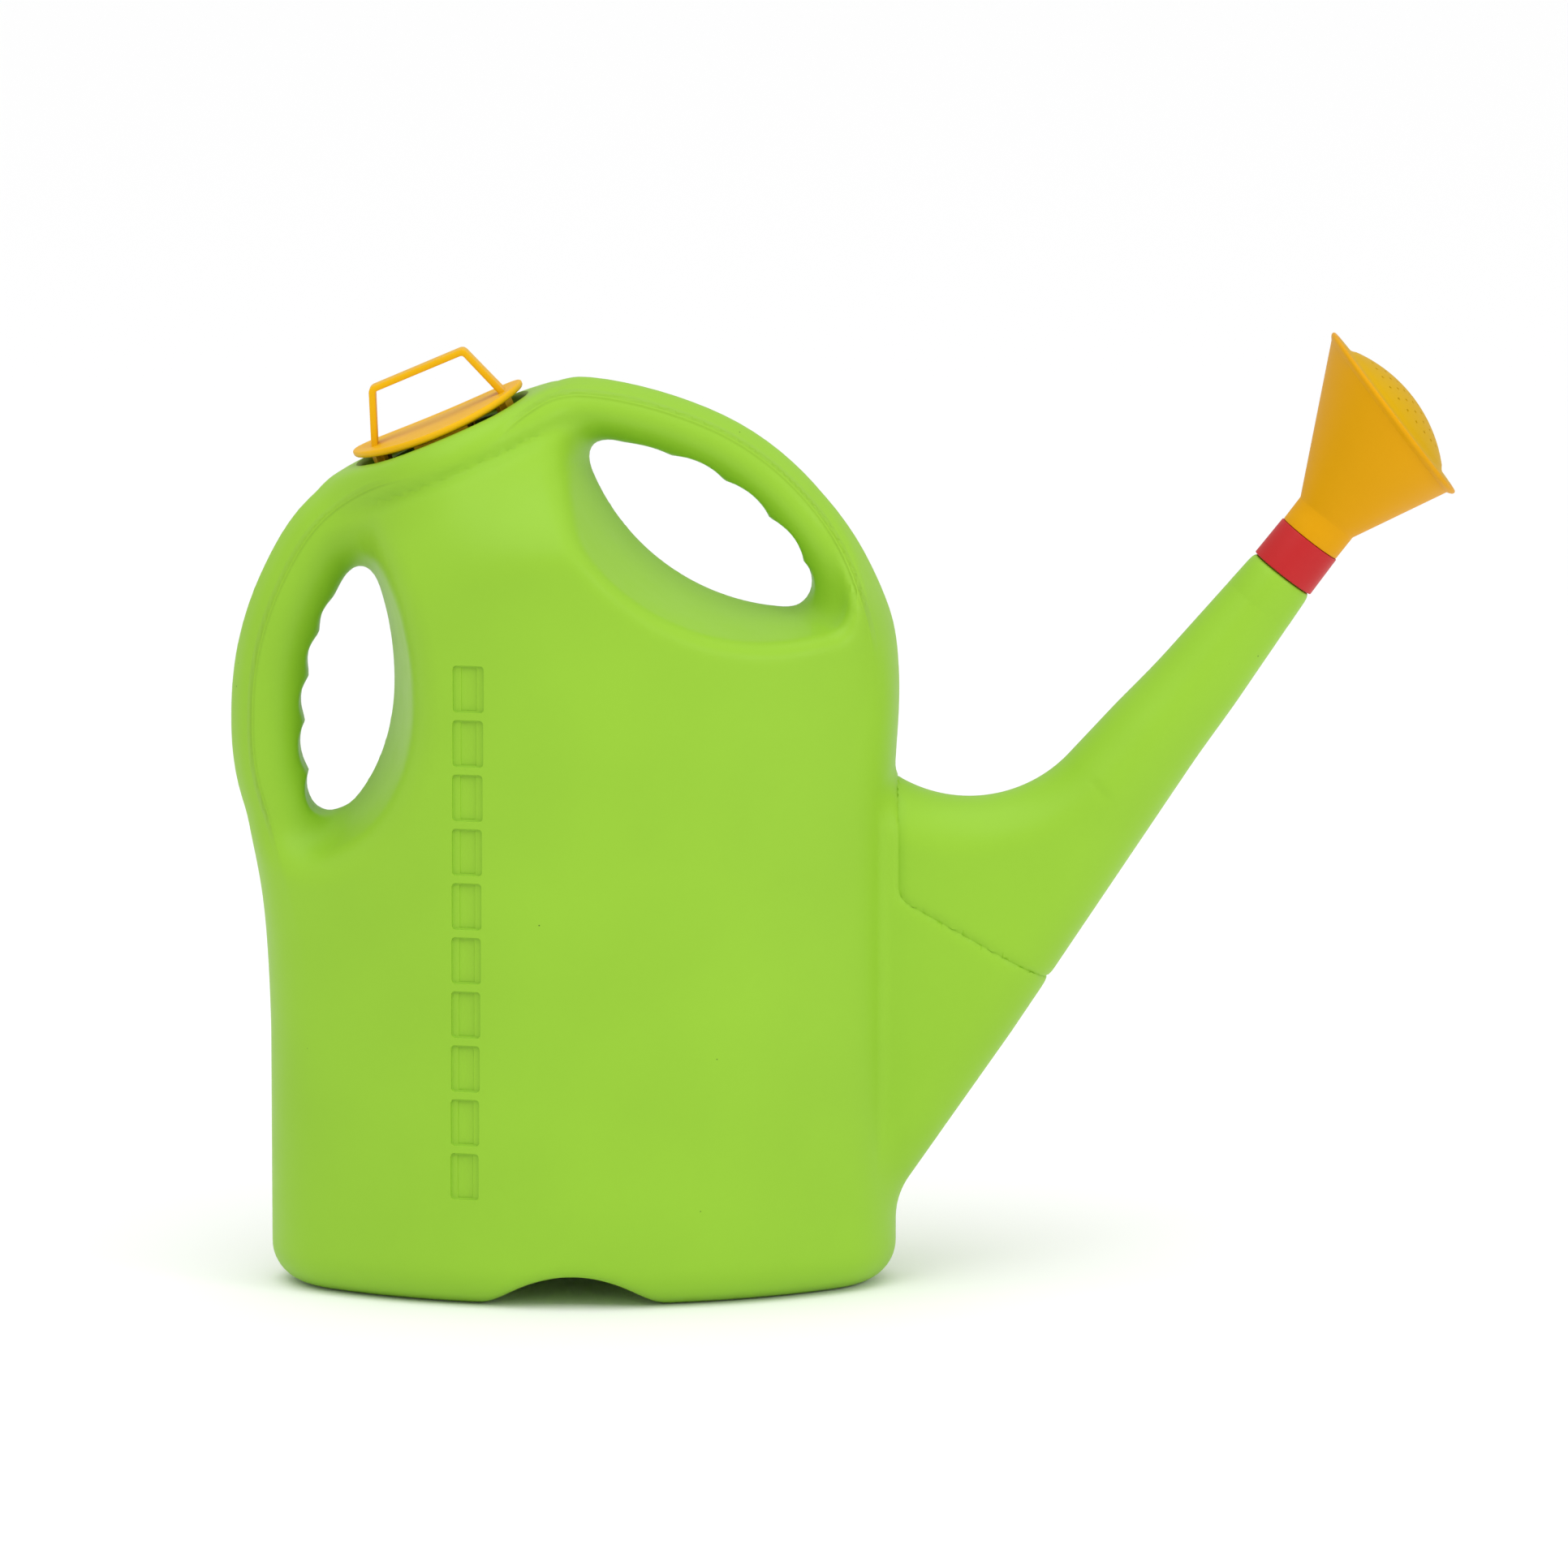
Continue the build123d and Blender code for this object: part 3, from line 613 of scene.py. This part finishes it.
def make_funnel():
    """Round neck, slanting cone and flared lip; rings lean over from the spout's plane to the rim's."""
    def at(place, pairs):
        return [circle_points(place, radius, height, 160) for radius, height in pairs]

    rings = at(SPOUT, [(11.8, 19.4), (12.3, 19.4), (14.1, 19.4), (14.45, 19.5), (14.55, 19.9), (14.6, 25),
                       (14.65, 31.2)])
    (low,), (high,) = at(SPOUT, [(14.75, 31.6)]), at(RIM, [(42.1, -1.9)])
    rings += [low + (high - low) * t for t in (0.0, 0.02, 0.12, 0.25, 0.4, 0.55, 0.7, 0.85, 0.95, 1.0)]
    rings += at(RIM, [(42.7, -1.5), (43.5, -0.95), (44.15, -0.3), (44.4, 0.35), (44.3, 0.95), (43.9, 1.35),
                      (43.3, 1.5), (41.6, 1.5), (41.0, 1.3), (40.8, 0.9), (40.8, 0.05), (40.6, -0.05),
                      (39.4, -0.05), (39.1, -0.3)])
    (low,), (high,) = at(SPOUT, [(12.6, 32.4)]), at(RIM, [(38.9, -1.6)])
    rings += [high + (low - high) * t for t in (0.0, 0.25, 0.5, 0.75, 1.0)]
    rings += at(SPOUT, [(11.75, 31.2), (11.6, 30.2), (11.55, 24), (11.6, 19.7)])
    return rings_to_piece("rose_cone", rings, True)


def make_face():
    """The domed spray face with its cove, flange and a real hole at each jet."""
    peak, dome = 11.7, 65.0
    arc = [(r, peak - dome + sqrt(dome**2 - r * r)) for r in np.linspace(0, 31.2, 22)]
    inner = [(r, n - 1.5) for r, n in reversed(arc)]
    flange = [(32.0, 3.05), (32.9, 2.35), (34.0, 1.9), (35.6, 1.65), (40.2, 1.6), (40.5, 1.35), (40.5, 0.15),
              (40.3, 0), (34.0, 0.0), (32.2, 0.6)]
    face = lathe("spray_face", RIM, arc + flange + inner, closed=False, count=160)
    holes = [(0.0, 0.0)]
    for ring in range(1, HOLE_RINGS + 1):
        holes += [(HOLE_RING_STEP * ring, 2 * pi * k / (6 * ring)) for k in range(6 * ring)]
    origin, right, back, normal = RIM
    points, faces, sides = [], [], 14
    for radius, turn in holes:
        centre = origin + radius * (cos(turn) * right + sin(turn) * back)
        low = len(points)
        high = low + sides
        for height in (-1.0, 13.0):
            points += list(circle_points((centre, right, back, normal), HOLE_RADIUS, height, sides))
        faces += [(low + i, low + (i + 1) % sides, high + (i + 1) % sides, high + i) for i in range(sides)]
        faces += [tuple(low + i for i in reversed(range(sides))), tuple(high + i for i in range(sides))]
    drills = new_mesh("drills", points, faces)
    tidy(drills)
    return joined(face, drills, "DIFFERENCE")


# ---------------------------------------------------------------- filler cap
def bar_from_outline(name, outline, half_width, place, edge):
    """An outline in the XZ plane, given in a tilted frame, drawn out along Y with eased edges."""
    origin, right, _, normal = place
    flat = [origin + u * right + n * normal for u, n in outline]
    rings = []
    ends = [half_width, half_width - edge * 0.3, half_width - edge]
    for y in [-end for end in ends] + ends[::-1]:
        past = max(abs(y) - half_width + edge, 0) / edge
        inset = edge * (1 - sqrt(max(1 - past**2, 0)))
        rings.append(inset_loop(flat, inset, right, normal) + np.array([0, y, 0]))
    return rings_to_piece(name, rings, False)


def inset_loop(loop, distance, right, normal):
    """A closed loop moved inwards in its own plane."""
    p = np.array(loop)
    ahead, behind = np.roll(p, -1, 0) - p, p - np.roll(p, 1, 0)
    along = sum(edge / np.linalg.norm(edge, axis=1, keepdims=True) for edge in (ahead, behind))
    u, n = along @ right, along @ normal
    length = np.hypot(u, n)
    area = sum(a @ right * (b @ normal) - b @ right * (a @ normal) for a, b in zip(p, np.roll(p, -1, 0)))
    side = 1 if area > 0 else -1
    return p + side * distance * (-(n / length)[:, None] * right + (u / length)[:, None] * normal)


def make_cap():
    """A thick-rimmed disc that sags along its strap, the strap, and four tabs, each with a longer leg."""
    origin, right, back, normal = SEAT
    top, under, rim, sag = 6.6, 4.0, 40.4, 3.0
    disc = [(0, top + 0.5), (20, top + 0.25), (34, top - 0.45), (37.0, top - 0.1), (rim, top),
            (rim, under - 0.3), (36, under - 1.3), (30, under - 1.9), (0, under - 1.9)]
    disc = eased(disc, [0, 5, 1.0, 0.9, 1.4, 1.3, 3, 2, 0], closed=False)
    cap = lathe("lift_off_cap", SEAT, disc, closed=False, count=160)
    points = vertices_of(cap)
    along = (points - origin) @ right
    points -= sag * (1 - (along / rim) ** 2)[:, None] * normal
    cap.data.vertices.foreach_set("co", (points * MM).ravel())
    outside = [(-32.2, 3.6), (-22.6, 29.5), (22.9, 29.6), (33.0, 3.6)]
    inside = [(29.9, 3.6), (21.2, 26.9), (-20.4, 26.9), (-29.2, 3.6)]
    outline = eased(outside + inside, [0, 2.2, 2.2, 0, 0, 1.2, 1.2, 0], steps=5)
    joined(cap, bar_from_outline("strap", outline, 7.0, SEAT, 0.7), "UNION")
    for quarter in range(4):
        for radius, inner, foot, edge, head in ((33.4, 28.4, -5.0, 0.4, 4.2), (30.6, 28.6, -13.0, 0.5, 3.8)):
            half = 13.0 / radius
            turns = np.linspace(-half, half, 13) + quarter * pi / 2
            outline = [(radius * cos(a), radius * sin(a)) for a in turns]
            outline += [(inner * cos(a), inner * sin(a)) for a in turns[::-1]]
            mid_u, mid_v = np.mean(outline, 0)
            head -= sag * (1 - (mid_u / rim) ** 2)
            rings = []
            for height, k in ((foot, 0.97), (foot + edge, 1.0), (head, 1.0)):
                eased_in = [(mid_u + (u - mid_u) * k, mid_v + (v - mid_v) * k) for u, v in outline]
                rings.append(np.array([origin + u * right + v * back + height * normal for u, v in eased_in]))
            joined(cap, rings_to_piece("tab", rings, False), "UNION")
    return cap


# ---------------------------------------------------------------- materials
def plastic(name, colour, roughness, variation, pebble, specular=0.32, specks=0.0, lines=False):
    """Moulded plastic: mottling, uneven gloss, a pebbled skin and, if asked, dark specks and mould lines."""
    material = bpy.data.materials.new(name)
    material.use_nodes = True
    nodes, links = material.node_tree.nodes, material.node_tree.links
    shader = nodes["Principled BSDF"]
    place = nodes.new("ShaderNodeTexCoord").outputs["Object"]

    def noise(scale, detail=3.0, rough=0.5):
        node = nodes.new("ShaderNodeTexNoise")
        node.inputs["Scale"].default_value = scale
        node.inputs["Detail"].default_value = detail
        node.inputs["Roughness"].default_value = rough
        links.new(place, node.inputs["Vector"])
        return node.outputs["Fac"]

    def ramp(value, stops):
        node = nodes.new("ShaderNodeValToRGB")
        node.color_ramp.elements[0].position, node.color_ramp.elements[1].position = stops[0][0], stops[-1][0]
        node.color_ramp.elements[0].color = (*stops[0][1], 1)
        node.color_ramp.elements[1].color = (*stops[-1][1], 1)
        for position, tone in stops[1:-1]:
            node.color_ramp.elements.new(position).color = (*tone, 1)
        links.new(value, node.inputs["Fac"])
        return node.outputs["Color"]

    dark = tuple(c * (1 - variation) for c in colour)
    light = tuple(min(c * (1 + variation), 1) for c in colour)
    base = ramp(noise(14.0, 2.0), [(0.3, dark), (0.5, colour), (0.7, light)])
    if specks:
        cells = nodes.new("ShaderNodeTexVoronoi")
        cells.inputs["Scale"].default_value = 95.0
        links.new(place, cells.inputs["Vector"])
        dot = ramp(cells.outputs["Distance"], [(0.022, (1, 1, 1)), (0.04, (0, 0, 0))])
        chosen = ramp(noise(31.0, 1.0), [(0.62, (0, 0, 0)), (0.66, (1, 1, 1))])
        both = nodes.new("ShaderNodeMix")
        both.data_type, both.blend_type = "RGBA", "MULTIPLY"
        both.inputs["Factor"].default_value = 1.0
        links.new(dot, both.inputs["A"])
        links.new(chosen, both.inputs["B"])
        mixed = nodes.new("ShaderNodeMix")
        mixed.data_type = "RGBA"
        links.new(both.outputs["Result"], mixed.inputs["Factor"])
        links.new(base, mixed.inputs["A"])
        mixed.inputs["B"].default_value = (*[c * (1 - specks) for c in colour], 1)
        base = mixed.outputs["Result"]
    links.new(base, shader.inputs["Base Color"])
    gloss = nodes.new("ShaderNodeMapRange")
    gloss.inputs["To Min"].default_value = roughness - 0.05
    gloss.inputs["To Max"].default_value = roughness + 0.07
    links.new(noise(60.0), gloss.inputs["Value"])
    links.new(gloss.outputs["Result"], shader.inputs["Roughness"])

    def bump(height, depth):
        node = nodes.new("ShaderNodeBump")
        node.inputs["Strength"].default_value = pebble
        node.inputs["Distance"].default_value = depth * MM
        links.new(height, node.inputs["Height"])
        return node

    pebbles, waves = bump(noise(620.0, 4.0, 0.6), 0.4), bump(noise(38.0, 2.0), 1.2)
    links.new(pebbles.outputs["Normal"], waves.inputs["Normal"])
    relief = waves.outputs["Normal"]
    if lines:
        relief = mould_lines(nodes, links, place, relief)
    links.new(relief, shader.inputs["Normal"])
    shader.inputs["IOR"].default_value = 1.5
    shader.inputs["Specular IOR Level"].default_value = specular
    return material


def mould_lines(nodes, links, place, normal):
    """Fine relief: the step along both grips and the parting line round the moulding's middle plane."""
    def math(kind, a, b):
        node = nodes.new("ShaderNodeMath")
        node.operation = kind
        for socket, value in zip(node.inputs, (a, b)):
            if isinstance(value, float):
                socket.default_value = value
            else:
                links.new(value, socket)
        return node.outputs[0]

    def stored(name):
        node = nodes.new("ShaderNodeAttribute")
        node.attribute_name = name
        return node.outputs["Fac"]

    def bell(value, width):
        return math("EXPONENT", math("MULTIPLY", math("POWER", math("DIVIDE", value, width), 2.0), -1.0), 0.0)

    apart = nodes.new("ShaderNodeSeparateXYZ")
    links.new(place, apart.inputs["Vector"])
    parting = math("MULTIPLY", bell(apart.outputs["Y"], 0.0004), 0.25)
    ledge = nodes.new("ShaderNodeMapRange")
    ledge.interpolation_type = "SMOOTHSTEP"
    for name, value in (("From Min", -0.8), ("From Max", 0.8), ("To Min", 0.5), ("To Max", 0.0)):
        ledge.inputs[name].default_value = value
    links.new(stored("step"), ledge.inputs["Value"])
    ridge = math("MULTIPLY", bell(math("ADD", stored("step"), 1.7), 0.8), 0.6)
    relief = math("MULTIPLY", math("ADD", ledge.outputs["Result"], ridge), stored("fade"))
    height = math("ADD", relief, parting)
    bump = nodes.new("ShaderNodeBump")
    bump.inputs["Strength"].default_value = 1.0
    bump.inputs["Distance"].default_value = MM
    links.new(height, bump.inputs["Height"])
    links.new(normal, bump.inputs["Normal"])
    return bump.outputs["Normal"]


def finish_piece(piece, material, body, nodes, sharp=32):
    """Smooth shading, one material, and the piece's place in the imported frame."""
    drop_scraps(piece)
    piece.data.materials.clear()
    piece.data.materials.append(material)
    piece.data.shade_smooth()
    piece.data.set_sharp_from_angle(angle=radians(sharp))
    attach(piece, body)
    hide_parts(*nodes)


green = plastic("green_polyethylene", (0.270, 0.516, 0.029), 0.44, 0.025, 0.10, specular=0.22, specks=0.75,
                lines=True)
amber = plastic("amber_plastic", (0.67, 0.315, 0.0003), 0.5, 0.03, 0.06, specular=0.1)
golden = plastic("golden_amber_plastic", (0.77, 0.42, 0.0005), 0.46, 0.03, 0.06, specular=0.13)
yellow = plastic("yellow_plastic", (0.58, 0.34, 0.0003), 0.5, 0.03, 0.06, specular=0.07)
red = plastic("red_plastic", (0.47, 0.012, 0.014), 0.48, 0.03, 0.06, specular=0.25)
rubber = plastic("washer_rubber", (0.03, 0.03, 0.032), 0.7, 0.08, 0.2)

tank_shell, spout_shell = make_moulding()
finish_piece(tank_shell, green, "can", ["tank", "rear_grip", "front_grip"])
finish_piece(spout_shell, green, "can", ["spout"])
finish_piece(make_collar(), red, "collar", ["collar"])
finish_piece(make_washer(), rubber, "collar", ["sealing_washer"])
finish_piece(make_funnel(), amber, "rose", ["rose_funnel"], sharp=17)
finish_piece(make_face(), yellow, "rose", ["rose_face"])
finish_piece(make_cap(), golden, "cap", ["filler_cap"])


# ---------------------------------------------------------------- studio and camera
def add_studio():
    """A pale floor under a bright sky, three weak area lamps and a soft sun."""
    far = 15000
    corners = [(-far, -far, 0), (far, -far, 0), (far, far, 0), (-far, far, 0)]
    floor = new_mesh("studio_floor", corners, [(0, 1, 2, 3)])
    paper = bpy.data.materials.new("pale_floor")
    paper.use_nodes = True
    paper.node_tree.nodes["Principled BSDF"].inputs["Base Color"].default_value = (0.95, 0.95, 0.95, 1)
    paper.node_tree.nodes["Principled BSDF"].inputs["Roughness"].default_value = 0.9
    floor.data.materials.append(paper)
    world = bpy.data.worlds.new("studio")
    world.use_nodes = True
    world.node_tree.nodes["Background"].inputs["Color"].default_value = (1, 1, 1, 1)
    world.node_tree.nodes["Background"].inputs["Strength"].default_value = 0.73
    bpy.context.scene.world = world
    for name, place, size, power in (("key", (-0.9, -1.7, 1.9), 1.0, 5), ("side", (1.5, -1.2, 1.0), 0.6, 8),
                                     ("top", (0.1, 0.2, 2.2), 1.4, 3)):
        light = bpy.data.lights.new(name, "AREA")
        light.size, light.energy = size, power
        lamp = bpy.data.objects.new(name, light)
        lamp.location = place
        lamp.rotation_euler = (Vector((0, 0, 0.2)) - lamp.location).to_track_quat("-Z", "Y").to_euler()
        bpy.context.scene.collection.objects.link(lamp)
    overhead = bpy.data.lights.new("overhead", "SUN")
    overhead.energy, overhead.angle = 1.1, radians(60)
    lamp = bpy.data.objects.new("overhead", overhead)
    lamp.rotation_euler = Vector((-0.12, -0.35, 1)).to_track_quat("Z", "Y").to_euler()
    bpy.context.scene.collection.objects.link(lamp)
    bpy.context.scene.view_settings.view_transform = "Standard"


def add_camera():
    """A long lens five metres away, 8 degrees above level, aimed so that the can sits left of the middle."""
    aim, distance, elevation, width = Vector((-0.02626, 0, 0.2241)), 5.0, radians(8), 0.6955
    camera = bpy.data.cameras.new("camera")
    camera.sensor_width = 36
    camera.lens = distance * camera.sensor_width / width
    camera.clip_end = 100
    eye = bpy.data.objects.new("camera", camera)
    eye.location = aim + distance * Vector((0, -cos(elevation), sin(elevation)))
    eye.rotation_euler = (aim - eye.location).to_track_quat("-Z", "Y").to_euler()
    bpy.context.scene.collection.objects.link(eye)
    bpy.context.scene.camera = eye


add_studio()
add_camera()
